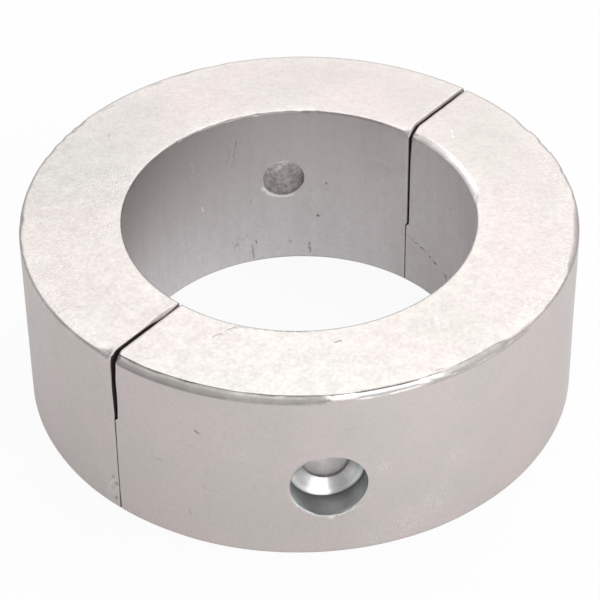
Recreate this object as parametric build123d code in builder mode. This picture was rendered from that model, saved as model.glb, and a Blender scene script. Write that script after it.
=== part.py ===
from build123d import *
import os
from math import cos, radians, sin

# Split collar anode: a thick plain ring in two cast half rings, each held by one radial bolt.
# Millimetres. Origin at the bottom centre of the ring, +Z up along the bore, the split along X.

# Ring
outer_diameter = 120.0
bore_diameter = 76.0
height = 42.5

# Worn rims, each with its own bevel
top_outer_break = 1.0
top_bore_break = 0.8
base_break = 0.5

# Split: the gap, the lightly broken upright corners, and each half's own bevel along the top
split_gap = 0.4
split_corner_break = 0.3
front_split_bevel = 0.35
rear_split_bevel = 0.9

# Bolt holes: a counterbore that ends in the cone of the drill's point, then a clearance hole
bolt_hole_diameter = 9.5
counterbore_diameter = 16.0
counterbore_depth = 5.8
drill_point_angle = 118.0
hole_from_split = 45.0
front_hole_height = 19.2
rear_hole_height = 23.8

outer_radius = outer_diameter / 2
bore_radius = bore_diameter / 2
wall = outer_radius - bore_radius
cone_mouth_radius = outer_radius - counterbore_depth

# Each half: its name, its side of the split along Y, its top bevel and its bolt hole's height
halves = (
    ("front_half", -1, front_split_bevel, front_hole_height),
    ("rear_half", 1, rear_split_bevel, rear_hole_height),
)

os.makedirs("parts", exist_ok=True)

for name, side, split_bevel, hole_height in halves:
    split_plane = Plane(origin=(0, side * split_gap / 2, 0), z_dir=(0, side, 0))
    outward = Vector(cos(radians(hole_from_split)), sin(radians(hole_from_split))) * side
    hole_axis_foot = Vector(0, 0, hole_height)
    cone_mouth = Plane(origin=hole_axis_foot + outward * cone_mouth_radius, z_dir=outward)

    with BuildPart() as half:
        # The wall's section, out from the bore's axis, with its rims broken, turned into a ring
        with BuildSketch(Plane.XZ) as section:
            with Locations((bore_radius + wall / 2, height / 2)):
                Rectangle(wall, height)
            base_corners, top_corners = section.vertices().group_by(Axis.Y)
            top_bore_corner, top_outer_corner = top_corners.sort_by(Axis.X)
            chamfer(top_bore_corner, top_bore_break)
            chamfer(top_outer_corner, top_outer_break)
            chamfer(base_corners, base_break)
        revolve(axis=Axis.Z)

        # The ring is parted, and the two parted faces lose their sharp top and upright edges
        split(bisect_by=split_plane, keep=Keep.TOP)
        chamfer(half.faces().filter_by(Axis.Y).edges().group_by(Axis.Z)[-1], split_bevel)
        chamfer(half.faces().filter_by(Axis.Y).edges().filter_by(Axis.Z), split_corner_break)

        # The radial bolt hole: clearance hole inwards from the cone, counterbore outwards
        with Locations(cone_mouth):
            CounterSinkHole(
                radius=bolt_hole_diameter / 2,
                counter_sink_radius=counterbore_diameter / 2,
                depth=cone_mouth_radius,
                counter_sink_angle=drill_point_angle,
            )

    half.part.label = name
    export_step(half.part, f"parts/{name}.step")
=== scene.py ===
from math import asin, cos, pi, radians, sin, sqrt, tan

import bmesh
import bpy
import numpy as np
from mathutils import Matrix, Vector


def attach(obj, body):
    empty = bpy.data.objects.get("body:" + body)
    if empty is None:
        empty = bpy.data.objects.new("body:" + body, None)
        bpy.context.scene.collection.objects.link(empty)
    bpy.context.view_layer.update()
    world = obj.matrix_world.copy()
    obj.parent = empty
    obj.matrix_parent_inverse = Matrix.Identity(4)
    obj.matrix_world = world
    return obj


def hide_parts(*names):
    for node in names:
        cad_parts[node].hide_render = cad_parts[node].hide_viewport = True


# Split collar anode: two cast half rings, each one closed mesh that stands for its CAD solid.
# Millimetres and degrees, as in the CAD source, until a mesh is written in metres.

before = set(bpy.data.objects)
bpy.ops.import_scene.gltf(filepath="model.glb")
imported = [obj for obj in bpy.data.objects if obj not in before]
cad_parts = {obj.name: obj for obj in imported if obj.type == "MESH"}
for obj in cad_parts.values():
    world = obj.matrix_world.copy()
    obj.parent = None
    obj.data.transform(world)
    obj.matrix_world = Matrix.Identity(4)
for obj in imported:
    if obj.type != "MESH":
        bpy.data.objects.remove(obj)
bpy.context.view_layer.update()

MM = 0.001

# Ring
OUTER_RADIUS = 60.0
BORE_RADIUS = 38.0
WALL_MIDDLE = (OUTER_RADIUS + BORE_RADIUS) / 2
HEIGHT = 42.5
BASE_BEVEL = 0.5
SPLIT_GAP = 0.4

# Bolt holes
BOLT_HOLE_RADIUS = 4.75
COUNTERBORE_RADIUS = 8.0
COUNTERBORE_DEPTH = 5.8
DRILL_POINT_ANGLE = 118.0
HOLE_EDGE_BREAK = 0.10
HOLE_ANGLE = {"front_half": -135.0, "rear_half": 45.0}
HOLE_HEIGHT = {"front_half": 19.2, "rear_half": 23.8}

# Rows of points in the bolt hole: the share of the way down its counterbore, cone and clearance hole, and how much
# painted shade it carries there, darkest in the creases between them
COUNTERBORE_ROWS = (0.0, 0.0), (0.12, 0.0), (0.3, 0.0), (0.5, 0.0), (0.7, 0.1), (0.88, 0.25), (0.96, 0.5)
CONE_ROWS = (0.0, 1.0), (0.06, 0.5), (0.14, 0.0), (0.5, 0.0), (0.84, 0.0), (0.94, 0.3), (1.0, 0.8)
CLEARANCE_ROWS = (
    (0.03, 0.8), (0.07, 0.3), (0.16, 0.0), (0.4, 0.0), (0.55, 0.0), (0.7, 0.0), (0.84, 0.0), (0.93, 0.25), (1.0, 0.5)
)
# Rows on the walls round the hole, as the share of the way in from the edge of its block
OUTER_WALL_ROWS = (0.2, 0.4, 0.58, 0.74, 0.87, 0.95, 1.0)
BORE_WALL_ROWS = (1.0, 0.93, 0.8, 0.6, 0.4, 0.2)

# Mesh spacing: a strip of close rows goes round each corner, with even rows between the strips
CORNER_REACH = 2.4
CORNER_STEPS = 9
BASE_REACH = 1.0
BASE_STEPS = 3
WALL_ROWS = 46
TOP_COLUMNS = 20
BOTTOM_COLUMNS = TOP_COLUMNS + 2 * (CORNER_STEPS - BASE_STEPS)
SIDE_ROWS = BASE_STEPS + WALL_ROWS + CORNER_STEPS
CAP_COLUMNS = 2 * CORNER_STEPS + TOP_COLUMNS
END_REACH = 2.4
END_BEVEL_RINGS = 3
END_RINGS = 8
MIDDLE_RINGS = 320
HOLE_BLOCK_HALF_WIDTH = 17
HOLE_BLOCK_HALF_HEIGHT = 12
# Where a point lies across a rim's bevel when it isn't near that rim
OFF_RIM = 99.0
# What a bevel loses for each millimetre that the walls beside it are drawn in, and the least that is left
BEVEL_LOSS = 0.586
LEAST_BEVEL = 0.05
SHARP_ANGLE = 38
# Cells along each side of the block of noise that repeats, and the step between two seeds of a rim's noise
NOISE_CELLS = 24
RIM_NOISE_STEP = 7.3

# Materials by their place in a half's slots
SKIN, DRILLED, BORE_SKIN = 0, 1, 2

# Places in the perimeter of the section: its four corners, from the base's outer corner up
TOP_OUTER = SIDE_ROWS
TOP_BORE = SIDE_ROWS + CAP_COLUMNS
BASE_BORE = 2 * SIDE_ROWS + CAP_COLUMNS
PERIMETER = 2 * (SIDE_ROWS + CAP_COLUMNS)


# Shaping helpers

def smooth(low, high, x):
    """0 below low, 1 above high, and a smooth rise between."""
    t = np.clip((np.asarray(x, float) - low) / (high - low), 0, 1)
    return t * t * (3 - 2 * t)


def bell(x, centre, width):
    return np.exp(-(((np.asarray(x, float) - centre) / width) ** 2))


def between(low, high, fade, x):
    """1 from low to high, fading to 0 over fade on each side."""
    return smooth(low - fade, low, x) * (1 - smooth(high, high + fade, x))


def bands(x, *changes):
    """A sum of changes, each given as its size, low end, high end and fade."""
    return sum(change * between(low, high, fade, x) for change, low, high, fade in changes)


def noise(points, size, seed):
    """Smooth noise from -1 to 1 with features about size across."""
    grid = np.random.default_rng(seed).uniform(-1, 1, (NOISE_CELLS, NOISE_CELLS, NOISE_CELLS))
    at = np.asarray(points, float) / size
    low = np.floor(at).astype(int)
    t = at - low
    t = t * t * (3 - 2 * t)
    total = 0
    for corner in np.ndindex(2, 2, 2):
        weight = 1
        for axis, upper in enumerate(corner):
            weight = weight * (t[..., axis] if upper else 1 - t[..., axis])
        index = [(low[..., axis] + corner[axis]) % NOISE_CELLS for axis in range(3)]
        total = total + weight * grid[tuple(index)]
    return total


def along_rim(angle, size, seed):
    """Noise along a rim, by its angle in degrees, with features about size millimetres long."""
    arc = np.radians(np.asarray(angle, float))
    places = OUTER_RADIUS * np.cos(arc), OUTER_RADIUS * np.sin(arc), 0 * arc + RIM_NOISE_STEP * seed
    return noise(np.stack(places, axis=-1), size, seed)


def on_ring(radius, angle, height):
    return np.array([radius * cos(radians(angle)), radius * sin(radians(angle)), height])


def on_surface(surface, angle, other):
    """A place on a wall, by its angle and height, or on the top, by its angle and radius."""
    if surface == "top":
        return on_ring(other, angle, HEIGHT)
    return on_ring(OUTER_RADIUS if surface == "outer" else BORE_RADIUS, angle, other)


# What the surface carries. Places are angle and height on the walls, and angle and radius on the top.

# Pits: angle, height or radius, size, depth, darkness
PITS = {"top": (
    (178.2, 59.6, 1.5, 0.75, 0.25),
    (176.6, 60, 0.8, 0.4, 0.35),
    (-179, 60.2, 1.2, 0.5, 0),
    (-114.7, 59.4, 0.8, 0.35, 0.5),
    (0.6, 38.2, 1, 0.55, 0),
    (-1.2, 38, 1.2, 0.6, 0),
), "outer": (
    (-161, 31.3, 0.45, 0.2, 0.35),
    (-108.6, 19, 1.3, 0.1, 0),
    (178.9, 3, 0.6, 0.3, 0.75),
    (178.2, 5, 0.5, 0.25, 0.6),
    (179.1, 6.8, 0.6, 0.3, 0.75),
    (178.3, 8.6, 0.5, 0.25, 0.6),
), "bore": (
    (33.2, 12.7, 0.45, 0.3, 0.5),
    (56.7, 18.2, 0.45, 0.2, 0.2),
    (55.6, 4.4, 0.6, 0.2, 0.1),
    (-9.5, 11.8, 0.5, 0.25, 0.2),
    (-20.6, 9.5, 0.5, 0.3, 0.4),
)}

# Fine marks, too thin for the mesh: the places of the start and the end, width, strength
DARK_MARKS = {"top": (
    (-164.4, 43.9, -159.8, 38.8, 0.22, 0.5),
    (-162.4, 42.6, -158.8, 38.8, 0.18, 0.4),
    (-159, 38.9, -148, 38.7, 0.16, 0.35),
    (-148, 38.7, -138, 38.6, 0.22, 0.45),
    (-131, 42.6, -128.8, 42.3, 0.25, 0.55),
    (162, 58.9, 162.9, 53.6, 0.16, 0.4),
    (163.5, 55.2, 161.2, 50.2, 0.12, 0.25),
    (94.2, 51.9, 95.6, 51, 0.3, 0.3),
    (112.4, 41.5, 112.9, 41.5, 0.25, 0.45),
    (131.3, 55.7, 131.8, 55.4, 0.25, 0.35),
    (-112.6, 57.6, -110.6, 58.1, 0.25, 0.4),
    (74.6, 59, 71.8, 58.9, 0.55, 0.24),
    (88.2, 58.9, 85, 58.6, 0.5, 0.22),
    (98, 59, 93.6, 59.2, 0.6, 0.24),
    (66.4, 59.2, 65, 59.1, 0.4, 0.22),
), "outer": (
    (-161.2, 31.5, -160.6, 31.1, 0.35, 0.6),
    (-170.2, 20.5, -168.5, 20.2, 0.2, 0.25),
    (-165, 27.5, -161.8, 26.8, 0.18, 0.2),
    (-160.2, 16, -157.4, 15.7, 0.18, 0.2),
    (-163.2, 8.8, -163, 7.4, 0.35, 0.22),
    (-132.6, 34.6, -128.9, 34.2, 0.16, 0.16),
), "bore": (
    (33.4, 12.8, 32.8, 12.6, 0.35, 0.75),
    (30.2, 22.3, 29.9, 22.1, 0.22, 0.6),
    (57, 18.2, 56.4, 18, 0.28, 0.5),
    (61.4, 36.2, 62.6, 31.6, 0.22, 0.4),
    (59.2, 38.2, 60.8, 33.4, 0.16, 0.28),
    (64.2, 33.8, 64.6, 31.2, 0.2, 0.28),
    (54.6, 36.6, 55.8, 31, 0.16, 0.18),
    (64, 8.4, 63.4, 6.6, 0.2, 0.4),
    (63.4, 5.9, 60.6, 6.8, 0.22, 0.5),
    (60.6, 6.8, 58.4, 8.6, 0.18, 0.35),
    (63.4, 5.9, 62.8, 4.6, 0.2, 0.45),
    (56.6, 5.4, 56.2, 1.4, 0.26, 0.45),
    (55.2, 6.4, 55, 5.4, 0.28, 0.6),
    (43, 5.4, 42.8, 4.6, 0.28, 0.35),
    (36.2, 4.6, 36, 2, 0.3, 0.55),
    (34, 2.6, 33.6, 2.2, 0.2, 0.35),
    (-0.5, 13.9, -4.6, 12.9, 0.18, 0.55),
    (-4.6, 12.9, -9.8, 11.8, 0.22, 0.6),
    (-9.8, 11.8, -14.6, 10.8, 0.14, 0.45),
    (-7.7, 12.5, -8.1, 12.4, 0.34, 0.7),
    (-11.7, 11.4, -12, 11.3, 0.34, 0.7),
    (-14.4, 10.7, -14.8, 10.6, 0.4, 0.75),
    (-20.5, 9.5, -20.9, 9.4, 0.42, 0.75),
    (-22.3, 30.2, -22.6, 30.1, 0.3, 0.55),
    (-3, 33.5, -14, 24, 0.14, 0.16),
    (8, 31, 2.5, 23, 0.14, 0.14),
    (12.5, 30.2, 8, 31, 0.14, 0.12),
)}
BRIGHT_MARKS = {"top": (
    (-12, 44, -9, 45.5, 0.25, 0.4),
    (-101.5, 44, -103, 46.5, 0.25, 0.3),
), "outer": (
    (-130.6, 13.2, -127, 15.4, 0.2, 0.45),
    (-131.6, 11.6, -128, 13, 0.16, 0.35),
    (-156.8, 14, -152.6, 13.2, 0.14, 0.14),
    (-148.8, 33.6, -144, 33, 0.12, 0.14),
    (-136.8, 38.6, -136.6, 36.6, 0.14, 0.2),
), "bore": (
    (75.4, 20.8, 75, 19.4, 0.3, 0.95),
    (74.6, 20.9, 75.2, 20.3, 0.24, 0.7),
    (79.6, 31.2, 78.2, 28.8, 0.14, 0.25),
    (13.2, 32, 8.8, 31.8, 0.2, 0.2),
    (8.8, 31.8, 4, 31, 0.2, 0.26),
    (13.8, 29.8, 9, 29, 0.18, 0.22),
    (9, 29, 4.2, 28.5, 0.2, 0.26),
    (12.5, 27, 7.5, 26, 0.2, 0.2),
    (-8, 22, -21.2, 20.5, 0.2, 0.26),
    (-10.2, 25, -23, 23.5, 0.18, 0.24),
    (-6.8, 13.5, -15.8, 11.2, 0.22, 0.3),
    (-11.8, 16.2, -21, 15.8, 0.18, 0.22),
    (78.8, 34.5, 78.2, 31.5, 0.2, 0.3),
)}


# Scuffs: angle, height or radius, size, strength
SCUFFS = {"top": (
    (112, 44, 9, 0.6),
    (135, 41, 5, 0.5),
    (150, 54, 7, 0.35),
    (158, 58, 3.5, 0.7),
    (-52, 49, 4.5, 0.6),
    (-41, 47, 2.5, 0.7),
    (-37, 57.5, 3, 0.7),
    (-70, 58.5, 3, 0.8),
    (-83, 59, 4, 0.8),
    (70, 40, 2.5, 0.7),
    (50, 40, 2.5, 0.6),
), "outer": (
    (-119, 5, 4, 0.9),
    (-113.5, 8.5, 3.5, 0.8),
    (-125, 2.5, 3, 0.6),
    (-124.2, 22.5, 1.3, 1),
    (-108.8, 19.5, 2, 0.7),
    (178.9, 5.5, 2.6, 1),
    (178.4, 42, 2, 1),
    (-152, 27, 2.2, 0.45),
    (-139, 30, 1.6, 0.4),
    (168, 42.5, 2.2, 0.6),
), "bore": (
    (61.5, 33.5, 3.4, 0.9),
    (56, 28, 3, 0.5),
    (61, 6.5, 2.6, 0.6),
    (44, 5, 1.8, 0.5),
    (-8, 31, 4, 0.3),
)}


def placed_rows(table):
    """The rows of a table, each with its place as one point."""
    for surface, rows in table.items():
        for angle, other, *rest in rows:
            yield on_surface(surface, angle, other), *rest


def scuffs(points):
    """Where the skin is scuffed into bright rough speckle, from 0 to 1."""
    worn = np.zeros(points.shape[:-1])
    for centre, size, strength in placed_rows(SCUFFS):
        worn = np.maximum(worn, strength * bell(np.linalg.norm(points - centre, axis=-1), 0, size))
    return worn


def relief(points):
    """How far the cast surface lies under its true form at each point, and how dark it is there."""
    waves = 0.05 * (1 + noise(points, 11.0, 1)) / 2 + 0.03 * (1 + noise(points, 4.5, 2)) / 2
    grain = 0.018 * (1 + noise(points, 1.6, 3)) / 2
    depth, dark = waves + grain, np.zeros(points.shape[:-1])
    for centre, size, deep, shade in placed_rows(PITS):
        ragged = size * (1 + 0.35 * noise(points + centre, 0.9, 4))
        dip = np.exp(-((np.linalg.norm(points - centre, axis=-1) / ragged) ** 2) * 1.4)
        depth = depth + deep * dip
        dark = np.maximum(dark, shade * smooth(0.25, 0.8, dip))
    return depth, dark


# The rims, by angle round the ring, and the edges at the split

def ragged(angle, size, seed):
    """Short sharp breaks along a rim, from 0 to 1."""
    breaks, stretches = along_rim(angle, size, seed), along_rim(angle, size * 3.1, seed + 40)
    return smooth(0.05, 0.55, breaks) * smooth(-0.5, 0.3, stretches)


def top_outer_bevel(name, angle):
    """Size of the worn bevel along the outer top rim."""
    if name == "front_half":
        worn = 0.85 - 0.45 * smooth(-97, -86, angle)
        worn = worn + bands(angle, (-0.16, -152, -133, 5), (-0.38, -133, -112, 4), (-0.22, -112, -90, 5))
        worn = worn + 0.14 * along_rim(angle, 6.5, 16) * between(-170, -100, 5, angle)
        worn = worn + 0.24 * between(-67, -52, 4, angle) + 0.50 * ragged(angle, 2.6, 31) * between(-48, -18, 3, angle)
    else:
        worn = 0.28 + 0.28 * ragged(angle, 2.4, 11) * between(60, 136, 5, angle)
        worn = worn + 0.25 * bell(angle, 98.0, 1.2) + 0.20 * bell(angle, 128.0, 5.0)
        worn = worn + 0.22 * ragged(angle, 3.0, 17) * between(140, 180, 5, angle)
    return np.clip(worn + 0.06 * along_rim(angle, 2.2, 12), 0.15, 1.5)


def top_outer_lean(name, angle):
    """How much further the worn outer rim reaches in over the top than it does down the wall."""
    if name == "front_half":
        return bands(angle, (1.15, -182, -98, 4), (-0.20, -112, -98, 4), (0.52, -67, -51, 4))
    return np.zeros(np.shape(angle))


def top_bore_lean(name, angle):
    """How much further the worn bore rim reaches out over the top than it does down the wall."""
    if name == "front_half":
        return 0.95 * between(-40, -5, 6, angle)
    return np.zeros(np.shape(angle))


def top_bore_bevel(name, angle):
    """Size of the worn bevel along the bore's top rim."""
    if name == "front_half":
        worn = 0.20 + 0.40 * between(-38, -4, 5, angle)
    else:
        worn = 0.14 + 0.42 * ragged(angle, 2.0, 18) * between(33, 88, 4, angle)
    return np.clip(worn + 0.05 * along_rim(angle, 1.8, 13), 0.12, 1.2)


def outer_rim_relief(name, angle, across):
    """The lap line, bead and nicks along the outer top rim. across is the distance from the bevel's middle, less than
    0 on the wall. Returns how far the rim stands out, how dark and how bare it is. In the front half much of the dark
    is painted shade, and the bead is bare metal whose brightness is partly a painted highlight."""
    if name == "rear_half":
        broken = ragged(angle, 5.0, 14) * between(62, 135, 4, angle)
        chipped = ragged(angle, 3.2, 24) * between(138, 176, 5, angle)
        dark = np.maximum(0.55 * broken * bell(across, 0.30, 0.30), 0.30 * chipped * bell(across, -0.1, 0.35))
        return -0.15 * broken * bell(across, 0.2, 0.4), dark, 0 * across
    line = 0.62 + 0.12 * along_rim(angle, 7.0, 19)
    uneven = 0.65 + 0.35 * along_rim(angle, 3.4, 20)
    mottle = 0.75 + 0.25 * along_rim(angle, 2.4, 29)
    lap = between(-178, -141, 3, angle) * uneven
    bead = between(-133.5, -113, 2.5, angle)
    bold = between(-128, -119, 3, angle)
    out = bead * (0.16 * bell(across, -0.05, 0.32) - 0.22 * bell(across, line, 0.26))
    out = out - 0.18 * lap * bell(across, line + 0.04, 0.24)
    # Front half: the thin dark lines at the lap line, above the bead and along the rim are painted shade in grooves,
    # the wide dark over the bevel band is painted shade that holds it to the wall's tone, and the ragged dark is
    # nicks
    dark = np.maximum.reduce([
        lap * bell(across, line + 0.02, 0.30 + 0.16 * between(-166, -142, 4, angle)),
        0.44 * between(-184, -137, 3, angle) * mottle * between(-0.75, 0.72, 0.2, across),
        0.45 * between(-141, -134, 3, angle) * bell(across, 0.45 + 0.08 * (angle + 138), 0.22),
        bead * (0.60 + 0.40 * bold) * bell(across, line + 0.02, 0.20 + 0.14 * bold),
        0.24 * between(-114, -91, 3, angle) * between(-1.0, 0.75, 0.25, across),
        0.60 * between(-114, -88, 3, angle) * uneven * bell(across, line, 0.20),
        0.80 * between(-107, -99, 2, angle) * uneven * bell(across, line, 0.26),
        0.30 * between(-108, -60, 6, angle) * ragged(angle, 3.0, 23) * bell(across, 0.2, 0.3),
    ])
    return out, dark, bead * between(-0.16, 0.36, 0.10, across)


def bore_rim_relief(name, angle, across):
    """The same for the bore's top rim, which is torn in the rear half, with painted shade along and just under its
    edge, and paler along part of the front half, with a little painted shade at that band's lower edge.
    """
    if name == "rear_half":
        torn = ragged(angle, 2.0, 25) * between(33, 84, 4, angle)
        dark = np.maximum(
            0.60 * ragged(angle, 1.6, 26) * between(33, 88, 4, angle) * bell(across, -0.25, 0.25),
            0.38 * between(12, 176, 6, angle) * bell(across, -0.05, 0.32)
        )
        bare = 0.9 * torn * ragged(angle, 0.9, 28) * bell(across, 0.1, 0.30)
        return -0.12 * torn * bell(across, 0.3, 0.35), dark, bare
    mottle = 0.8 + 0.2 * along_rim(angle, 2.6, 27)
    bare = 0.55 * between(-39, -12, 4, angle) * mottle * between(-0.5, 0.9, 0.2, across)
    return 0 * across, 0.22 * between(-17, -6, 3, angle) * between(-0.4, 0.3, 0.2, across), bare


def split_bevels(name, end, radius, height):
    """Size of the broken edge at the split, by where on the section's outline it is."""
    on_top = smooth(HEIGHT - 1.2, HEIGHT - 0.2, height)
    on_outer = smooth(OUTER_RADIUS - 1.2, OUTER_RADIUS - 0.2, radius) * (1 - on_top)
    on_bore = (1 - smooth(BORE_RADIUS + 0.2, BORE_RADIUS + 1.2, radius)) * (1 - on_top)
    if name == "rear_half":
        top, outer, bore = 0.45, 0.12, 0.12 + 0.14 * smooth(16.5, 18, height)
        if end == "left":
            top = 0.16 + 0.80 * bell(radius, 43.2, 3.0) + 0.35 * smooth(57, 60, radius)
            outer = 0.07 + 0.40 * smooth(33, 39, height) + 0.14 * between(20.5, 26, 2.5, height)
            outer = outer + 0.16 * (1 - smooth(4, 10, height))
    else:
        top, outer, bore = 0.28, 0.10, 0.15 + 0.25 * smooth(36, 42, height)
        if end == "left":
            outer = 0.07 + 0.15 * smooth(27, 33, height) + 0.40 * smooth(36, 41, height)
            outer = outer + 0.06 * between(20.5, 25, 2.5, height) + 0.06 * (1 - smooth(3, 9, height))
            top = 0.22 + 0.40 * smooth(56.5, 60, radius)
    base = 0.10
    size = base + (top - base) * on_top + (outer - base) * on_outer + (bore - base) * on_bore
    return np.clip(size, 0.05, 1.2)


def split_recess(name, end, radius, height):
    """How far a half's parted face stands back from the split, so that the gap is wider there."""
    recess = np.full(np.shape(radius), -0.03)
    if end == "left":
        shut = 1 - smooth(25.8, 26.3, height)
        recess = recess - 0.07 * shut + 0.05 * (1 - smooth(1.0, 6.0, height))
        opened = smooth(25.7, 26.3, height)
        at_wall = smooth(56.5, 59.5, radius)
        if name == "rear_half":
            narrowed = (0.50 - 0.42 * smooth(27, 41, height)) * at_wall
            recess = recess + opened * (0.36 + 0.34 * between(46, 57, 2.5, radius) - narrowed)
        else:
            taper = 0.68 + 0.12 * smooth(26, 30, height) - 0.20 * smooth(31, 41, height)
            recess = recess + opened * (taper * at_wall - 0.24 * (1 - at_wall))
    else:
        shut = (1 - smooth(16.2, 16.9, height)) * (1 - smooth(40, 46, radius))
        recess = recess - 0.10 * shut
        along_top = smooth(38.8, 42.5, radius) * smooth(34, 40, height)
        wobble = 0.10 * along_rim(radius * 6.0, 20.0, 30)
        if name == "front_half":
            recess = recess + (1 - shut) * (0.70 + 0.14 * smooth(30, 41, height) - 0.72 * along_top + wobble)
        else:
            recess = recess + (1 - shut) * (-0.52 + 0.70 * along_top - wobble)
    return recess


# One half ring as a closed mesh

def corner(wall_reach, cap_reach, bevel, steps):
    """Points round a bevelled corner from its wall to its cap, with one column for each ring: distance in from the
    wall, distance in from the cap, the turn of the normal from 0 to 1, and the distance from the bevel's middle."""
    slant = bevel / sqrt(2)
    to_wall = wall_reach - bevel + slant
    to_cap = cap_reach - bevel + slant
    steps_down = np.linspace(-1, 0, steps + 1)[:-1, None]
    steps_up = np.linspace(0, 1, steps + 1)[:, None]
    across = np.concatenate([steps_down * to_wall, steps_up * to_cap])
    share = np.clip((across + slant) / (2 * slant), 0, 1)
    from_wall = bevel * share + np.clip(across - slant, 0, None)
    from_cap = bevel * (1 - share) + np.clip(-across - slant, 0, None)
    for _ in range(2):
        for line in (from_wall, from_cap):
            line[1:-1] = (line[:-2] + 2 * line[1:-1] + line[2:]) / 4
    turn = smooth(-1.6, 1.6, across / np.maximum(slant, 0.25))
    return from_wall, from_cap, turn, across


def section(insets, top_outer, top_bore, outer_lean=0.0, bore_lean=0.0):
    """The outline of the wall's section, ring by ring: radius, height, the normal's angle in quarter turns, and the
    distance across the two top rims. insets[ring, place] is how far the outline is drawn in."""
    rings = len(top_outer)
    inset = insets.T

    def evenly(start, end, steps):
        return np.linspace(start, end, steps + 1)[1:-1, None]

    wall_heights = evenly(BASE_REACH, HEIGHT - CORNER_REACH, WALL_ROWS)
    cap_radii = evenly(OUTER_RADIUS - CORNER_REACH, BORE_RADIUS + CORNER_REACH, TOP_COLUMNS)
    base_radii = evenly(BORE_RADIUS + BASE_REACH, OUTER_RADIUS - BASE_REACH, BOTTOM_COLUMNS)

    def strip(place, way, reach, steps, bevel, lean=0.0):
        """The rows round a corner, in the perimeter's order: in from its wall, in from its cap, the normal's turn,
        and across. way is 1 where the wall comes after the corner. lean draws the bevel further in over the cap."""
        wall_in, cap_in = (inset[(place + side * steps) % PERIMETER] for side in (way, -way))
        shrunk = np.maximum(bevel - BEVEL_LOSS * (wall_in + cap_in) / 2, LEAST_BEVEL)
        from_wall, from_cap, turn, across = corner(reach - cap_in, reach - wall_in, shrunk, steps)
        wall = wall_in + from_wall
        share = np.clip(0.5 + across / (sqrt(2) * bevel), 0, 1)
        beyond = np.clip((wall - bevel) / (reach - bevel), 0, 1)
        return [part[::-way] for part in (wall + lean * share * (1 - beyond), cap_in + from_cap, turn, across)]

    def drawn_in(place, steps, count):
        """The insets of the even rows after a corner."""
        return inset[place + steps + 1:place + steps + count]

    stretches = []

    def add(r, z, quarter, outer=OFF_RIM, bore=OFF_RIM):
        stretches.append([np.broadcast_to(part, (len(r), rings)) for part in (r, z, quarter, outer, bore)])

    base = BASE_REACH, BASE_STEPS, np.full(rings, BASE_BEVEL)
    wall, cap, quarter, _ = strip(0, 1, *base)
    add(OUTER_RADIUS - wall[BASE_STEPS:], cap[BASE_STEPS:], -quarter[BASE_STEPS:])
    last_rows = OUTER_RADIUS - wall[:BASE_STEPS], cap[:BASE_STEPS], 4 - quarter[:BASE_STEPS]
    add(OUTER_RADIUS - drawn_in(0, BASE_STEPS, WALL_ROWS), wall_heights, 0)
    wall, cap, quarter, across = strip(TOP_OUTER, -1, CORNER_REACH, CORNER_STEPS, top_outer, outer_lean)
    add(OUTER_RADIUS - wall, HEIGHT - cap, quarter, outer=across)
    add(cap_radii, HEIGHT - drawn_in(TOP_OUTER, CORNER_STEPS, TOP_COLUMNS), 1)
    wall, cap, quarter, across = strip(TOP_BORE, 1, CORNER_REACH, CORNER_STEPS, top_bore, bore_lean)
    add(BORE_RADIUS + wall, HEIGHT - cap, 2 - quarter, bore=across)
    add(BORE_RADIUS + drawn_in(TOP_BORE, CORNER_STEPS, WALL_ROWS), wall_heights[::-1], 2)
    wall, cap, quarter, _ = strip(BASE_BORE, -1, *base)
    add(BORE_RADIUS + wall, cap, 2 + quarter)
    add(base_radii, drawn_in(BASE_BORE, BASE_STEPS, BOTTOM_COLUMNS), 3)
    add(*last_rows)
    return tuple(np.concatenate(part).T.astype(float) for part in zip(*stretches))


def outline():
    """The plain outline's radius and height at each place, from which the split's edges are sized."""
    radius, height, *_ = section(np.zeros((1, PERIMETER)), np.array([0.6]), np.array([0.5]))
    return radius[0], height[0]


def add_object(name, data):
    thing = bpy.data.objects.new(name, data)
    bpy.context.scene.collection.objects.link(thing)
    return thing


class Half:
    """Vertices, faces and surface marks of one half as it is put together."""

    def __init__(self, name, side):
        self.name, self.side = name, side
        self.points, self.faces, self.materials = [], [], []
        self.dark, self.bare, self.scuff = [], [], []
        self.count = 0

    def true_angle(self, angle):
        """Angle round the ring, in degrees, of an angle measured on this half's own side."""
        return self.side * np.degrees(angle)

    def add(self, points, dark, bare):
        """points are in the half's own frame, with the half on +Y. Returns their numbers."""
        points = np.array(points, float).reshape(-1, 3)
        points[:, 1] *= self.side
        self.points.append(points)
        self.dark.append(np.broadcast_to(dark, len(points)))
        self.bare.append(np.broadcast_to(bare, len(points)))
        self.scuff.append(scuffs(points))
        numbers = np.arange(self.count, self.count + len(points))
        self.count += len(points)
        return numbers

    def grid(self, numbers, closed=False, material=SKIN):
        """Faces over a grid of vertex numbers."""
        quads = quads_of(numbers, closed).reshape(-1, 4)
        self.faces.append(quads)
        self.materials.append(np.full(len(quads), material))


def quads_of(numbers, closed=False):
    """The quads of a grid of vertex numbers. closed joins its last column to its first."""
    if closed:
        numbers = np.concatenate([numbers, numbers[:, :1]], axis=1)
    return np.stack([numbers[:-1, :-1], numbers[:-1, 1:], numbers[1:, 1:], numbers[1:, :-1]], axis=-1)


def placed(radius, angle, height, turn, out):
    """Points of the ring, moved out along the surface's normal."""
    normal = turn * pi / 2
    radius = radius + out * np.cos(normal)
    height = height + out * np.sin(normal)
    return np.stack([radius * np.cos(angle), radius * np.sin(angle), height], axis=-1)


def real(half, points):
    """The same points in the row frame."""
    return points * np.array([1, half.side, 1])


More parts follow.
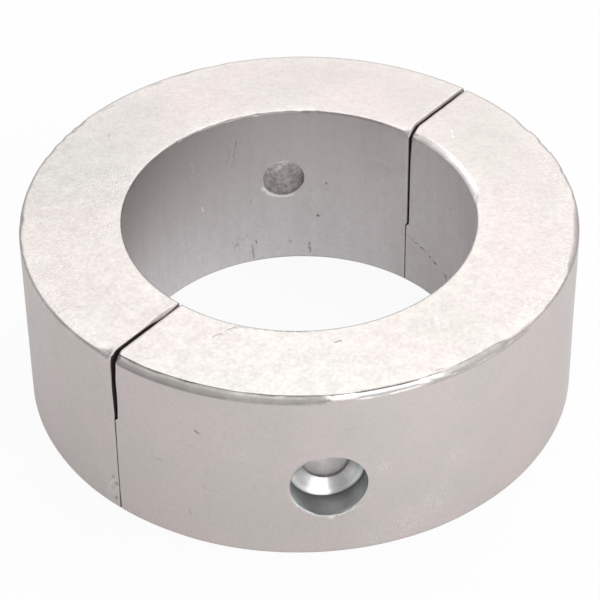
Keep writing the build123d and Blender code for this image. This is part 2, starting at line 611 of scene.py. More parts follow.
def end_rings(half, end, plain_radius, plain_height):
    """The rings that form one parted edge, from the parted face on: distances from the split plane, and insets."""
    bevel = split_bevels(half.name, end, plain_radius, plain_height)
    recess = split_recess(half.name, end, plain_radius, plain_height)
    t = np.linspace(0, 1, END_BEVEL_RINGS + 1)[:, None]
    distance, inset = recess + bevel * t, bevel * (1 - t) ** 1.5
    t = np.linspace(0, 1, END_RINGS - END_BEVEL_RINGS + 1)[1:, None]
    beyond = (recess + bevel) * (1 - t) + END_REACH * t
    return SPLIT_GAP / 2 + np.concatenate([distance, beyond]), np.concatenate([inset, 0 * beyond])


def make_walls(half):
    """The rings of vertices along the half, and where they are."""
    plain_radius, plain_height = outline()
    near_right, near_left = (end_rings(half, end, plain_radius, plain_height) for end in ("right", "left"))
    rings = 2 * (END_RINGS + 1) + MIDDLE_RINGS - 1
    insets = np.zeros((rings, PERIMETER))
    insets[:END_RINGS + 1] = near_right[1]
    insets[-END_RINGS - 1:] = near_left[1][::-1]

    # A first go at each ring's angle, for the rims' sizes there
    end_angle = asin((SPLIT_GAP / 2 + END_REACH) / WALL_MIDDLE)
    steps = np.linspace(0, 1, MIDDLE_RINGS + 1)
    middle = end_angle + (pi - 2 * end_angle) * steps[1:-1]
    ends = np.linspace(0, end_angle, END_RINGS + 1)
    rough_angle = half.true_angle(np.concatenate([ends, middle, pi - ends[::-1]]))

    radius, height, turn, outer_across, bore_across = section(insets, *(
        size(half.name, rough_angle) for size in (top_outer_bevel, top_bore_bevel, top_outer_lean, top_bore_lean)
    ))
    start = np.arcsin((SPLIT_GAP / 2 + END_REACH) / radius)
    angle = np.empty_like(radius)
    angle[:END_RINGS + 1] = np.arcsin(near_right[0] / radius[:END_RINGS + 1])
    angle[-END_RINGS - 1:] = pi - np.arcsin(near_left[0][::-1] / radius[-END_RINGS - 1:])
    for ring, step in enumerate(steps[1:-1], start=END_RINGS + 1):
        angle[ring] = start[ring] + (pi - 2 * start[ring]) * step

    flat = placed(radius, angle, height, turn, 0)
    depth, dark = relief(real(half, flat))
    degrees_round = half.true_angle(angle)
    bare = np.zeros(dark.shape)
    out = -depth
    for across, form in ((outer_across, outer_rim_relief), (bore_across, bore_rim_relief)):
        moved, shade, shine = form(half.name, degrees_round, across)
        out = out + moved
        dark, bare = np.maximum(dark, shade), np.maximum(bare, shine)
    # Painted shade lies in the split's broken edges, in the gap between the halves, and along the base's two edges,
    # under the ring
    for ring, painted_shade in enumerate((0.9, 0.12, 0.0)):
        dark[ring] = np.maximum(dark[ring], painted_shade)
        dark[-1 - ring] = np.maximum(dark[-1 - ring], painted_shade)
    # The painted shade in the left seam is darkest on the outer wall just under its opening, and down at the base
    seam = slice(-2, None)
    painted_seam_shade = np.maximum(between(21, 26, 2.5, height[seam]), 1 - smooth(4, 10, height[seam]))
    dark[seam] = np.maximum(dark[seam], 0.85 * painted_seam_shade * (turn[seam] < 1))
    # Painted shade along the base's two edges, heavier on the bore's side
    painted_base_shade = (1 - smooth(0.2, 0.75, height)) * (np.abs(turn - 3) > 0.2)
    dark = np.maximum(dark, np.where(turn > 1.5, 0.85, 0.5) * painted_base_shade)
    points = placed(radius, angle, height, turn, out)
    numbers = half.add(points, dark.ravel(), bare.ravel()).reshape(rings, PERIMETER)
    return numbers, angle, height, points


def make_parted_face(half, numbers, points, end):
    """The flat parted face, as a grid stretched between the four sides of its outline."""
    outer = np.arange(0, TOP_OUTER + 1)
    top = np.arange(TOP_OUTER, TOP_BORE + 1)
    bore = np.arange(TOP_BORE, BASE_BORE + 1)[::-1]
    base = np.append(np.arange(BASE_BORE, PERIMETER), 0)[::-1]
    u = np.linspace(0, 1, SIDE_ROWS + 1)[:, None, None]
    v = np.linspace(0, 1, CAP_COLUMNS + 1)[None, :, None]
    p_outer, p_bore = points[outer][:, None], points[bore][:, None]
    p_base, p_top = points[base][None, :], points[top][None, :]
    grid = (1 - v) * p_outer + v * p_bore + (1 - u) * p_base + u * p_top
    grid = grid - (1 - u) * (1 - v) * p_outer[:1] - (1 - u) * v * p_bore[:1]
    grid = grid - u * (1 - v) * p_outer[-1:] - u * v * p_bore[-1:]
    inner = grid[1:-1, 1:-1].copy()
    radius = np.hypot(inner[..., 0], inner[..., 1])
    inner[..., 1] = SPLIT_GAP / 2 + split_recess(half.name, end, radius, inner[..., 2])
    inner[..., 1] += 0.03 * (1 + noise(real(half, inner), 2.0, 5))
    cells = np.empty((SIDE_ROWS + 1, CAP_COLUMNS + 1), int)
    cells[:, 0], cells[:, -1] = numbers[outer], numbers[bore]
    cells[0], cells[-1] = numbers[base], numbers[top]
    # The parted face, inside the gap, carries painted shade
    cells[1:-1, 1:-1] = half.add(inner, 0.45, 0).reshape(inner.shape[:2])
    half.grid(cells)


def hole_lip(around, beyond, inside):
    """Burr and wear round the mouth of a hole, bare metal whose brightness is partly a painted highlight: around is
    the angle about the bolt's axis in degrees, and beyond the distance out from the edge. inside says it is the mouth
    in the bore."""
    if inside:
        low = between(-114, -26, 10, around)
        out = 0.28 * low * bell(beyond, 0.25, 0.35)
        return out, low * between(-0.1, 0.80, 0.15, beyond)
    low = between(-122, -32, 9, around)
    lumps = np.clip(0.65 + 0.9 * along_rim(around, 2.2, 21), 0.05, 1.4)
    out = 0.34 * low * lumps * bell(beyond, 0.25, 0.38)
    out = out + 0.12 * bell(around, -92, 4) * bell(beyond, 0.7, 0.45)
    out = out - 0.12 * between(-30, 50, 20, around) * bell(beyond, 0.1, 0.30)
    bare = np.clip(low * lumps * bell(beyond, 0.15, 0.45) + bell(around, -92, 4) * bell(beyond, 0.7, 0.5), 0, 1)
    bare = np.maximum(bare, 0.5 * between(-50, -20, 8, around) * bell(beyond, 0.1, 0.25))
    return out, bare


def make_bolt_hole(half, walls):
    """Opens the wall round the bolt hole and lines it from the outer face to the bore. Returns the block of rings
    and rows that it takes the place of."""
    numbers, angle, height, _ = walls
    hole_angle = abs(radians(HOLE_ANGLE[half.name]))
    hole_height = HOLE_HEIGHT[half.name]
    outward = np.array([cos(hole_angle), sin(hole_angle), 0])
    across = np.array([-sin(hole_angle), cos(hole_angle), 0])
    up = np.array([0, 0, 1.0])

    middle_row = SIDE_ROWS // 2
    ring = int(np.argmin(np.abs(angle[:, middle_row] - hole_angle)))
    row = int(np.argmin(np.abs(height[len(height) // 2, :TOP_OUTER] - hole_height)))
    rings = (ring - HOLE_BLOCK_HALF_WIDTH, ring + HOLE_BLOCK_HALF_WIDTH)
    rows = (row - HOLE_BLOCK_HALF_HEIGHT, row + HOLE_BLOCK_HALF_HEIGHT)
    loop = [(k, rows[0]) for k in range(rings[0], rings[1])]
    loop += [(rings[1], i) for i in range(rows[0], rows[1])]
    loop += [(k, rows[1]) for k in range(rings[1], rings[0], -1)]
    loop += [(rings[0], i) for i in range(rows[1], rows[0], -1)]
    loop_rings, loop_rows = np.array(loop).T

    def edge(places, radius):
        """The block's edge on a wall, as offsets from the bolt's axis."""
        side = radius * np.sin(angle[loop_rings, places] - hole_angle)
        return side, height[loop_rings, places] - hole_height, numbers[loop_rings, places]

    outer_side, outer_up, outer_numbers = edge(loop_rows, OUTER_RADIUS)
    bore_side, bore_up, bore_numbers = edge(BASE_BORE - loop_rows, BORE_RADIUS)
    around = np.arctan2(outer_up, outer_side)
    around_degrees = np.degrees(around)

    def on_wall(radius, block_side, block_up, hole_radius, turn, share):
        """Adds a ring of points on a wall, by its share of the way in from the block's edge to the hole's."""
        mouth = hole_radius + HOLE_EDGE_BREAK
        side = (1 - share) * block_side + share * mouth * np.cos(around)
        rise = (1 - share) * block_up + share * mouth * np.sin(around)
        at = hole_angle + np.arcsin(side / radius)
        radii = np.full(side.shape, radius)
        depth, dark = relief(real(half, placed(radii, at, hole_height + rise, turn, 0)))
        proud, bare = hole_lip(around_degrees, np.hypot(side, rise) - hole_radius, turn == 2)
        return half.add(placed(radii, at, hole_height + rise, turn, proud - depth), dark, bare)

    def in_hole(hole_radius, reach):
        """A ring of points on the hole's lining: its radius, and its reach out from the ring's axis."""
        side, rise = hole_radius * np.cos(around), hole_radius * np.sin(around)
        reach = np.broadcast_to(reach, around.shape)
        return outward * reach[:, None] + across * side[:, None] + up * (hole_height + rise)[:, None]

    # Outer wall, from the block's edge in to the mouth
    rows_of_numbers = [outer_numbers]
    for share in OUTER_WALL_ROWS:
        rows_of_numbers.append(on_wall(OUTER_RADIUS, outer_side, outer_up, COUNTERBORE_RADIUS, 0, share))
    outer_rows = len(rows_of_numbers)

    # Lining: edge break, counterbore, the cone of the drill's point, clearance hole
    surface = np.sqrt(OUTER_RADIUS**2 - (COUNTERBORE_RADIUS * np.cos(around)) ** 2)
    floor = OUTER_RADIUS - COUNTERBORE_DEPTH
    cone_depth = (COUNTERBORE_RADIUS - BOLT_HOLE_RADIUS) / tan(radians(DRILL_POINT_ANGLE / 2))
    bore_surface = np.sqrt(BORE_RADIUS**2 - (BOLT_HOLE_RADIUS * np.cos(around)) ** 2)
    part_break = 0.3 * HOLE_EDGE_BREAK
    profile = [(COUNTERBORE_RADIUS + part_break, surface - part_break, 0.0)]
    for first_radius, last_radius, first_reach, last_reach, stage_rows in (
        (COUNTERBORE_RADIUS, COUNTERBORE_RADIUS, surface - HOLE_EDGE_BREAK, floor, COUNTERBORE_ROWS),
        (COUNTERBORE_RADIUS, BOLT_HOLE_RADIUS, floor, floor - cone_depth, CONE_ROWS),
        (BOLT_HOLE_RADIUS, BOLT_HOLE_RADIUS, floor - cone_depth, bore_surface + HOLE_EDGE_BREAK, CLEARANCE_ROWS),
    ):
        for t, shade in stage_rows:
            hole_radius = first_radius + (last_radius - first_radius) * t
            profile.append((hole_radius, first_reach * (1 - t) + last_reach * t, shade))
    profile.append((BOLT_HOLE_RADIUS + part_break, bore_surface + part_break, 0.2))
    # Painted shade in the lining, heavier on one side round the bolt's axis
    painted_shade = 0.75 - 0.25 * np.cos(around)
    # Painted shade: the rear hole is darker down its two sides near the bore
    sides = 0.62 * smooth(0.72, 0.96, -np.cos(around)) + 0.45 * smooth(0.88, 0.99, np.cos(around))
    sides = sides * (half.name == "rear_half")
    for hole_radius, reach, shade in profile:
        shade = np.maximum(shade, sides * (1 - smooth(1.0, 6.0, reach - bore_surface)))
        worn = hole_radius + 0.02 * along_rim(around_degrees, 5.0, 22)
        rows_of_numbers.append(half.add(in_hole(worn, reach), shade * painted_shade, 0))
    lining_rows = len(rows_of_numbers)

    # Bore wall, from the hole's edge out to the block's edge
    for share in BORE_WALL_ROWS:
        rows_of_numbers.append(on_wall(BORE_RADIUS, bore_side, bore_up, BOLT_HOLE_RADIUS, 2, share))
    rows_of_numbers.append(bore_numbers)

    lining = np.array(rows_of_numbers)
    half.grid(lining[:outer_rows], closed=True)
    half.grid(lining[outer_rows - 1:lining_rows + 1], closed=True, material=DRILLED)
    half.grid(lining[lining_rows:], closed=True, material=BORE_SKIN)
    return rings, rows


def make_half(name, side, materials):
    half = Half(name, side)
    walls = make_walls(half)
    numbers, _, _, points = walls
    (first_ring, last_ring), (first_row, last_row) = make_bolt_hole(half, walls)

    quads = quads_of(numbers, closed=True)
    keep = np.ones(quads.shape[:2], bool)
    keep[first_ring:last_ring, first_row:last_row] = False
    keep[first_ring:last_ring, BASE_BORE - last_row:BASE_BORE - first_row] = False
    skin = np.full(quads.shape[:2], SKIN)
    skin[:, TOP_BORE:BASE_BORE] = BORE_SKIN
    half.faces.append(quads[keep])
    half.materials.append(skin[keep])

    make_parted_face(half, numbers[0], points[0], "right")
    make_parted_face(half, numbers[-1], points[-1], "left")

    mesh = bpy.data.meshes.new(name + "_cast")
    vertices = np.concatenate(half.points)
    faces = np.concatenate(half.faces)
    mesh.from_pydata((vertices * MM).tolist(), [], faces.tolist())
    for material in materials:
        mesh.materials.append(material)
    mesh.polygons.foreach_set("material_index", np.concatenate(half.materials).astype(np.int32))
    for label, values in (("dark", half.dark), ("bare", half.bare), ("scuff", half.scuff)):
        layer = mesh.attributes.new(label, "FLOAT", "POINT")
        layer.data.foreach_set("value", np.concatenate(values).astype(np.float32))
    tidy = bmesh.new()
    tidy.from_mesh(mesh)
    loose = [v for v in tidy.verts if not v.link_faces]
    bmesh.ops.delete(tidy, geom=loose, context="VERTS")
    bmesh.ops.recalc_face_normals(tidy, faces=tidy.faces)
    tidy.to_mesh(mesh)
    open_edges = sum(1 for edge in tidy.edges if len(edge.link_faces) != 2)
    print(name, "vertices", len(tidy.verts), "faces", len(tidy.faces), "open edges", open_edges)
    tidy.free()
    mesh.polygons.foreach_set("use_smooth", np.ones(len(mesh.polygons), bool))
    mesh.set_sharp_from_angle(angle=radians(SHARP_ANGLE))

    piece = add_object(name + "_cast", mesh)
    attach(piece, "root")
    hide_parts(name)


# Materials

class Value:
    """A number in a node tree, with the usual arithmetic."""

    def __init__(self, nodes, socket):
        self.nodes, self.socket = nodes, socket

    def __add__(self, other):
        return self.nodes.math("ADD", self, other)

    def __sub__(self, other):
        return self.nodes.math("SUBTRACT", self, other)

    def __rsub__(self, other):
        return self.nodes.math("SUBTRACT", other, self)

    def __mul__(self, other):
        return self.nodes.math("MULTIPLY", self, other)

    def clamped(self):
        """The same number, which its own node keeps from 0 to 1."""
        self.socket.node.use_clamp = True
        return self


class Nodes:
    """A short way to write a node tree. Numbers are Values, and everything else is a plain socket."""

    def __init__(self, tree):
        self.tree = tree

    def set(self, socket, value):
        if isinstance(value, Value):
            value = value.socket
        if isinstance(value, bpy.types.NodeSocket):
            self.tree.links.new(value, socket)
        else:
            socket.default_value = value

    def add(self, kind, inputs=None, **settings):
        node = self.tree.nodes.new(kind)
        for key, value in settings.items():
            setattr(node, key, value)
        for key, value in (inputs or {}).items():
            self.set(node.inputs[key], value)
        return node

    def math(self, operation, a, b=0.0):
        return Value(self, self.add("ShaderNodeMath", {0: a, 1: b}, operation=operation).outputs[0])

    def most(self, first, *others):
        """The greatest of some numbers."""
        for other in others:
            first = self.math("MAXIMUM", first, other)
        return first

    def vector(self, operation, a, b):
        return self.add("ShaderNodeVectorMath", {0: a, 1: b}, operation=operation).outputs["Vector"]

    def scaled(self, vector, factor):
        return self.add("ShaderNodeVectorMath", {0: vector, 3: factor}, operation="SCALE").outputs["Vector"]

    def measure(self, operation, a, b=(0, 0, 0)):
        """A number from two vectors, such as how far apart they are."""
        return Value(self, self.add("ShaderNodeVectorMath", {0: a, 1: b}, operation=operation).outputs["Value"])

    def parts(self, vector):
        """A vector's three numbers."""
        return [Value(self, socket) for socket in self.add("ShaderNodeSeparateXYZ", {0: vector}).outputs]

    def combined(self, x, y, z):
        return self.add("ShaderNodeCombineXYZ", {"X": x, "Y": y, "Z": z}).outputs[0]

    def span(self, value, low, high, to_low=0.0, to_high=1.0, **settings):
        """From to_low to to_high while the value goes from low to high, and level beyond."""
        ends = {"From Min": low, "From Max": high, "To Min": to_low, "To Max": to_high}
        return Value(self, self.add("ShaderNodeMapRange", {"Value": value, **ends}, **settings).outputs["Result"])

    def smooth(self, value, low, high):
        return self.span(value, low, high, interpolation_type="SMOOTHSTEP")

    def noise(self, vector, scale, detail, roughness):
        inputs = {"Vector": vector, "Scale": scale, "Detail": detail, "Roughness": roughness}
        return Value(self, self.add("ShaderNodeTexNoise", inputs).outputs["Fac"])

    def mix(self, amount, a, b):
        """A colour between two colours. A mix node's sockets 6 and 7 are its colours, and 2 and 3 its numbers."""
        inputs = {0: amount, 6: a, 7: b}
        return self.add("ShaderNodeMix", inputs, data_type="RGBA", clamp_factor=True).outputs[2]

    def blend(self, amount, a, b):
        """A number between two numbers."""
        return Value(self, self.add("ShaderNodeMix", {0: amount, 2: a, 3: b}, data_type="FLOAT").outputs[0])

    def attribute(self, name):
        node = self.add("ShaderNodeAttribute", attribute_name=name, attribute_type="GEOMETRY")
        return Value(self, node.outputs["Fac"])

    def places(self):
        """The point in millimetres, its parts, its distance from the bore's axis, and how far its skin faces up."""
        coords = self.add("ShaderNodeTexCoord").outputs
        point = self.scaled(coords["Object"], 1 / MM)
        x, y, z = self.parts(point)
        return point, x, y, z, self.math("SQRT", x * x + y * y), self.parts(coords["Normal"])[2]


def new_material(name):
    material = bpy.data.materials.new(name)
    material.use_nodes = True
    tree = material.node_tree
    tree.nodes.clear()
    nodes = Nodes(tree)
    return material, nodes, nodes.add("ShaderNodeOutputMaterial").inputs["Surface"]


def finish_metal(n, surface, colour, roughness, height, strength, distance):
    bump = n.add("ShaderNodeBump", {"Strength": strength, "Distance": distance, "Height": height}).outputs[0]
    looks = {"Base Color": colour, "Metallic": 1.0, "Roughness": roughness, "Normal": bump}
    n.set(surface, n.add("ShaderNodeBsdfPrincipled", looks).outputs[0])


# The cast skin. The top is pink and green in clouds and paler at its rims; its paler front is a painted highlight,
# and its darker back left is painted shade.
ALLOY_PINK = (0.68, 0.604, 0.597, 1)
ALLOY_GREEN = (0.63, 0.594, 0.568, 1)
ALLOY_RIM = (0.675, 0.640, 0.612, 1)
ALLOY_PAINTED_SHEEN = (0.665, 0.650, 0.620, 1)
ALLOY_PAINTED_TOP_SHADE = (0.575, 0.556, 0.535, 1)
TOP_SHADE_CENTRE = on_surface("top", 108.0, 54.0)
# The bore's painted shade, which also tints its brushed grain, and its painted light
ALLOY_BORE_SHADED_AND_BRUSHED = (0.45, 0.415, 0.410, 1)
ALLOY_BORE_PAINTED_LIT = (0.87, 0.845, 0.862, 1)
# A darker tone: the skin's random tone and the top's streaks, and the outer wall's painted shade
ALLOY_SHADE = (0.50, 0.460, 0.446, 1)
# The colour of the dark mask: pits, cracks and nicks, and painted shade in gaps, creases, grooves and along edges
PIT_AND_SHADE_COLOUR = (0.085, 0.08, 0.072, 1)
BARE_COLOUR = (0.90, 0.89, 0.885, 1)

# The drilled holes, each as its darkest and its brightest
DRILLED_ALLOY = (0.50, 0.493, 0.497, 1), (0.61, 0.603, 0.603, 1)
# The cored clearance hole's colour is brightened as painted light
CORED_ALLOY_PAINTED_LIT = (0.90, 0.885, 0.88, 1), (1.0, 0.985, 0.98, 1)
LUMPY_ALLOY = (0.70, 0.66, 0.65, 1), (1.0, 0.97, 0.96, 1)
SEAT_TINT = (0.66, 0.705, 0.700, 1)
DRILL_MARK = (0.34, 0.34, 0.34, 1)

# The top's streaks lie one way, across the split
STREAK_ALONG = (0.639, -0.769, 0)
STREAK_ACROSS = (0.769, 0.639, 0)


def mark_group():
    """A node group: how near a point is to a line from Start to End, as 1 on it and 0 beyond Width."""
    tree = bpy.data.node_groups.new("fine_mark", "ShaderNodeTree")
    for label in ("Point", "Start", "End"):
        tree.interface.new_socket(label, in_out="INPUT", socket_type="NodeSocketVector")
    for label in ("Width", "Strength"):
        tree.interface.new_socket(label, in_out="INPUT", socket_type="NodeSocketFloat")
    tree.interface.new_socket("Mark", in_out="OUTPUT", socket_type="NodeSocketFloat")
    n = Nodes(tree)
    given = n.add("NodeGroupInput").outputs
    line = n.vector("SUBTRACT", given["End"], given["Start"])
    offset = n.vector("SUBTRACT", given["Point"], given["Start"])
    share = n.math("DIVIDE", n.measure("DOT_PRODUCT", offset, line), n.measure("DOT_PRODUCT", line, line)).clamped()
    distance = n.measure("LENGTH", n.vector("SUBTRACT", offset, n.scaled(line, share)))
    near = (1.0 - n.math("DIVIDE", distance, given["Width"])).clamped()
    n.set(n.add("NodeGroupOutput").inputs["Mark"], n.smooth(near, 0.0, 0.7) * given["Strength"])
    return tree


def fine_marks(n, point, marks, surfaces):
    """The marks of a list that are on these surfaces as one mask, a little wavy and broken."""
    wave = n.add("ShaderNodeTexNoise", {"Vector": point, "Scale": 0.9, "Detail": 2.0}).outputs["Color"]
    wavy = n.vector("ADD", n.scaled(n.vector("SUBTRACT", wave, (0.5, 0.5, 0.5)), 0.9), point)
    group = bpy.data.node_groups.get("fine_mark") or mark_group()
    masks = []
    for surface in surfaces:
        for *places, width, strength in marks[surface]:
            start, end = on_surface(surface, *places[:2]), on_surface(surface, *places[2:])
            inputs = {"Point": wavy, "Start": start, "End": end, "Width": width, "Strength": strength}
            masks.append(Value(n, n.add("ShaderNodeGroup", inputs, node_tree=group).outputs["Mark"]))
    return n.most(*masks)


def cast_alloy(name, surfaces):
    """Satin cast alloy: a fine streaked grain on the top, a fine orange-peel skin on the walls, specks, dark pits and
    bare burrs, with painted shade and light: a paler front and a darker back left on the top, darker ends on the
    outer wall, and a bore that is darker and lighter by place."""
    material, n, output = new_material(name)
    point, _, _, z, radius, faces_up = n.places()
    upward = n.smooth(faces_up, 0.80, 0.97)
    in_bore = (1.0 - n.smooth(radius, 38.6, 40.0)) * (1.0 - upward)
    on_wall = (1.0 - upward) * (1.0 - in_bore)

    lengthways = n.measure("DOT_PRODUCT", point, STREAK_ALONG)
    crossways = n.measure("DOT_PRODUCT", point, STREAK_ACROSS)
    streaks = n.noise(n.combined(lengthways * 0.17, crossways, z), 1.1, 3.0, 0.6)
    sway = n.noise(point, 0.28, 2.0, 0.5) * 5.0
    fine_streaks = n.noise(n.combined(lengthways * 0.32, crossways + sway, z), 1.9, 3.0, 0.6)
    clouds = n.noise(point, 0.055, 3.0, 0.5)
    blotches = n.noise(point, 0.30, 3.0, 0.55)
    skin = n.noise(point, 1.1, 4.0, 0.55)
    grain = n.noise(point, 4.5, 2.0, 0.5)
    speckle = n.noise(point, 3.2, 2.0, 0.5)

    # The top's colour
    colour = n.mix(n.span(clouds * 0.7 + blotches * 0.3, 0.42, 0.58), ALLOY_GREEN, ALLOY_PINK)
    rimward = n.smooth(n.math("ABSOLUTE", radius - WALL_MIDDLE), 4.0, 11.0) * upward * 0.7
    colour = n.mix(rimward, colour, ALLOY_RIM)
    # Painted shade darkens the top towards its back left, and a painted highlight makes its front paler
    painted_top_shade = n.span(n.measure("DISTANCE", point, TOP_SHADE_CENTRE), 8.0, 34.0, 0.95, 0.0) * upward
    colour = n.mix(painted_top_shade, colour, ALLOY_PAINTED_TOP_SHADE)
    painted_front_sheen = n.span(crossways, -56.0, -26.0, 0.85, 0.0) * n.span(lengthways, 0.0, 30.0, 1.0, 0.3) * upward
    colour = n.mix(painted_front_sheen, colour, ALLOY_PAINTED_SHEEN)

    # Painted shade and light in the bore: it is darker high up on its rear left and low down on its front right, and
    # lighter where the gradient swings the other way. It is also brushed upright
    lowness = n.span(z, 0.0, HEIGHT, 1.0, 0.0) - 0.5
    swing = n.span(lengthways, -20.0, 16.0, 1.0, 0.5) - n.span(lengthways, 18.0, 36.0, 0.0, 1.3)
    bore_painted_light = (lowness * swing + 0.5).clamped()
    colour = n.mix(in_bore * 0.85, colour, n.mix(bore_painted_light, ALLOY_BORE_SHADED_AND_BRUSHED, ALLOY_BORE_PAINTED_LIT))
    # Painted shade: the outer wall is darker towards its left end and, less so, towards its right end
    painted_wall_shade = n.span(lengthways, -50.0, -12.0, 0.36, 0.0) + n.span(lengthways, 30.0, 55.0, 0.0, 0.26)
    colour = n.mix(painted_wall_shade * on_wall, colour, ALLOY_SHADE)
    colour = n.mix(n.span(skin, 0.40, 0.68, 0.0, 0.16), colour, ALLOY_SHADE)
    brushed = n.noise(n.vector("MULTIPLY", point, (1.0, 1.0, 0.10)), 0.45, 3.0, 0.55)
    colour = n.mix(in_bore * n.span(brushed, 0.40, 0.65, 0.0, 0.10), colour, ALLOY_BORE_SHADED_AND_BRUSHED)

    # Streaks and raised specks on the top
    patchy = n.smooth(blotches, 0.44, 0.60)
    streak_tone = n.span(streaks, 0.48, 0.70, 0.0, 0.10) + n.span(fine_streaks, 0.52, 0.72, 0.0, 0.16) * patchy
    colour = n.mix(streak_tone * upward, colour, ALLOY_SHADE)
    specks = n.most(n.smooth(fine_streaks, 0.62, 0.72) * 0.45, n.smooth(speckle, 0.66, 0.73))
    raised = specks * n.most(patchy, rimward) * (upward * 0.8)

    scuff = n.attribute("scuff")
    scuffed = scuff * n.smooth(speckle, 0.50, 0.60)
    scuff_pits = scuff * (1.0 - n.smooth(speckle, 0.34, 0.44))
    if "bore" in surfaces:
        # In the bore the scuffs are dark upright scratches
        scratches = n.noise(n.vector("MULTIPLY", point, (1.0, 1.0, 0.35)), 1.7, 3.0, 0.6)
        scuffed = scuffed * 0.15
        scuff_pits = scuff * n.smooth(scratches, 0.58, 0.66) * 3.0
    bright_marks = fine_marks(n, point, BRIGHT_MARKS, surfaces)
    bare = n.most(n.attribute("bare"), scuffed * 0.55, bright_marks, raised).clamped()
    colour = n.mix(bare, colour, BARE_COLOUR)
    dark = (n.attribute("dark") * n.span(grain, 0.3, 0.6, 0.7, 1.0)).clamped()
    dark = n.most(dark, scuff_pits * 0.14, fine_marks(n, point, DARK_MARKS, surfaces)).clamped()
    colour = n.mix(dark, colour, PIT_AND_SHADE_COLOUR)

    roughness = n.span(skin * 0.5 + blotches * 0.5, 0.35, 0.65, 0.40, 0.52) - bare * 0.12
    top_grain = streaks * 0.4 + (fine_streaks * 0.4 + skin * 0.6)
    height = n.blend(upward, skin * 0.6 + grain * 0.4, top_grain) + scuffed * 0.7 - dark * 0.5
    finish_metal(n, output, colour, roughness, height, 0.30, 0.00014)
    return material


def drilled_alloy():
    """The same alloy where the drill has cut it: brighter, with fine rings round the bolt's axis. The clearance hole
    is rougher, as cast, with its colour brightened as painted light, and lumpy in the rear half."""
    material, n, output = new_material("anode_alloy_drilled")
    point, x, y, z, radius, _ = n.places()
    depth = x + y
    marks = n.noise(n.combined(depth * 1.6, (x - y) * 0.05, z * 0.05), 1.5, 3.0, 0.6)
    blotches = n.noise(point, 0.5, 3.0, 0.6)
    lumps = n.noise(point, 1.3, 4.0, 0.65)
    coarse_lumps = n.noise(point, 0.75, 3.0, 0.6)
    cored = 1.0 - n.smooth(radius, 51.0, 52.4)
    in_rear = n.smooth(depth, -1.0, 1.0)

    clean = n.mix(n.span(blotches, 0.35, 0.65), *DRILLED_ALLOY)
    clean = n.mix(n.smooth(radius, 53.8, 54.3) * 0.75, clean, SEAT_TINT)
    clean = n.mix(n.span(marks, 0.4, 0.7, 0.0, 0.3), clean, DRILL_MARK)
    # Painted light: the cored clearance hole is brightened
    lit_rough_cast = n.mix(n.span(lumps, 0.38, 0.62), *CORED_ALLOY_PAINTED_LIT)
    lumpy = n.mix(n.span(coarse_lumps, 0.40, 0.60), *LUMPY_ALLOY)
    colour = n.mix(cored, clean, n.mix(in_rear, lit_rough_cast, lumpy))
    colour = n.mix(n.attribute("dark"), colour, PIT_AND_SHADE_COLOUR)

    roughness = n.blend(cored, n.span(marks, 0.3, 0.7, 0.27, 0.35), 0.62)
    height = marks * 0.5 + lumps * cored * n.span(in_rear, 0.0, 1.0, 2.0, 3.5)
    finish_metal(n, output, colour, roughness, height, 0.5, 0.00012)
    return material


# Floor, light and camera

# The point that the lamps and the camera face
MIDDLE = Vector((0, 0, HEIGHT / 2 * MM))

# The camera, in degrees and millimetres, as fitted to the photo
VIEW_AZIMUTH = -50.27
VIEW_ELEVATION = 39.58
VIEW_DISTANCE = 585.3
VIEW_ROLL = -0.67
AIM_DROP = 1.95
LENS = 160.0
SENSOR_WIDTH = 36.0
CLIP_START, CLIP_END = 0.01, 20.0

# How much of the floor is plain white as the camera sees it and as metal mirrors it. The rest is lit and keeps
# the shadow.
WHITE_SEEN = 0.93
WHITE_MIRRORED = 0.42
WHITE = (1, 1, 1, 1)
FLOOR_COLOUR = (0.92, 0.92, 0.92, 1)
FLOOR_REACH = 4.0
FLOOR_DROP = 0.00002
ROOM_LIGHT = 0.55

# Lamps: name, degrees round from the camera, degrees up, distance, width, height, brightness where 1 is white
LAMPS = (
    ("back_softbox", 167, 55, 600, 640, 480, 1.60),
    ("right_softbox", 50, 26, 500, 400, 400, 1.6),
    ("front_softbox", 19, 15, 600, 290, 218, 2.95),
)


def facing(azimuth, elevation):
    """The direction from the object towards a place at this azimuth and elevation."""
    a, e = radians(azimuth), radians(elevation)
    return Vector((sin(a) * cos(e), -cos(a) * cos(e), sin(e)))


def make_floor():
    mesh = bpy.data.meshes.new("floor")
    corners = [(x * FLOOR_REACH, y * FLOOR_REACH, 0) for x, y in ((-1, -1), (1, -1), (1, 1), (-1, 1))]
    mesh.from_pydata(corners, [], [(0, 1, 2, 3)])
    floor = add_object("floor", mesh)
    floor.location.z = -FLOOR_DROP
    material, n, output = new_material("white_floor")
    path = n.add("ShaderNodeLightPath").outputs
    mirrored = n.most(path["Is Glossy Ray"], path["Is Transmission Ray"])
    whiteness = n.most(n.math("MULTIPLY", path["Is Camera Ray"], WHITE_SEEN), mirrored * WHITE_MIRRORED)
    lit = n.add("ShaderNodeBsdfDiffuse", {"Color": FLOOR_COLOUR}).outputs[0]
    white = n.add("ShaderNodeEmission", {"Color": WHITE, "Strength": 1.0}).outputs[0]
    n.set(output, n.add("ShaderNodeMixShader", {0: whiteness, 1: lit, 2: white}).outputs[0])
    mesh.materials.append(material)


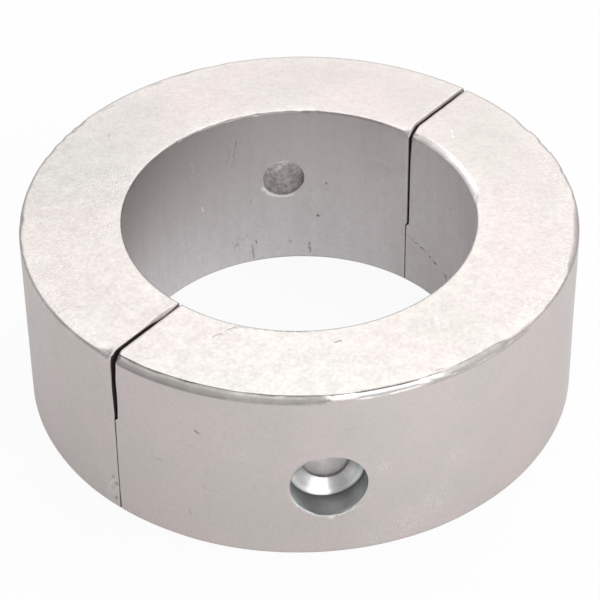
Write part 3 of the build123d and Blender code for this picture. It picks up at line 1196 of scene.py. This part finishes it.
def make_world():
    world = bpy.data.worlds.new("studio")
    bpy.context.scene.world = world
    world.use_nodes = True
    tree = world.node_tree
    tree.nodes.clear()
    n = Nodes(tree)
    seen = n.add("ShaderNodeLightPath").outputs["Is Camera Ray"]
    room, white = (n.add("ShaderNodeBackground", {"Color": WHITE, "Strength": strength}).outputs[0]
                   for strength in (ROOM_LIGHT, 1.0))
    mixed = n.add("ShaderNodeMixShader", {0: seen, 1: room, 2: white}).outputs[0]
    n.set(n.add("ShaderNodeOutputWorld").inputs["Surface"], mixed)


def make_softbox(name, round_from_camera, elevation, distance, width, height, radiance):
    """A soft lamp that faces the object."""
    light = bpy.data.lights.new(name, "AREA")
    light.shape = "RECTANGLE"
    light.size, light.size_y = width * MM, height * MM
    light.energy = radiance * pi * light.size * light.size_y
    lamp = add_object(name, light)
    direction = facing(VIEW_AZIMUTH + round_from_camera, elevation)
    lamp.location = direction * distance * MM + MIDDLE
    lamp.rotation_mode = "QUATERNION"
    lamp.rotation_quaternion = (-direction).to_track_quat("-Z", "Y")


def make_camera():
    data = bpy.data.cameras.new("camera")
    data.sensor_width = SENSOR_WIDTH
    data.lens = LENS
    data.clip_start, data.clip_end = CLIP_START, CLIP_END
    camera = add_object("camera", data)
    bpy.context.scene.camera = camera
    back = facing(VIEW_AZIMUTH, VIEW_ELEVATION)
    turned = (-back).to_track_quat("-Z", "Y").to_matrix() @ Matrix.Rotation(radians(VIEW_ROLL), 3, "Z")
    tilt = Matrix.Rotation(-AIM_DROP / VIEW_DISTANCE, 3, "X")
    camera.rotation_mode = "QUATERNION"
    camera.rotation_quaternion = (turned @ tilt).to_quaternion()
    camera.location = MIDDLE + back * VIEW_DISTANCE * MM


# The scene

alloy = [cast_alloy("anode_alloy", ("top", "outer")), drilled_alloy(), cast_alloy("anode_alloy_bore", ("bore",))]
make_half("rear_half", 1, alloy)
make_half("front_half", -1, alloy)

make_floor()
make_world()
for lamp in LAMPS:
    make_softbox(*lamp)
make_camera()

bpy.context.scene.view_settings.view_transform = "Standard"
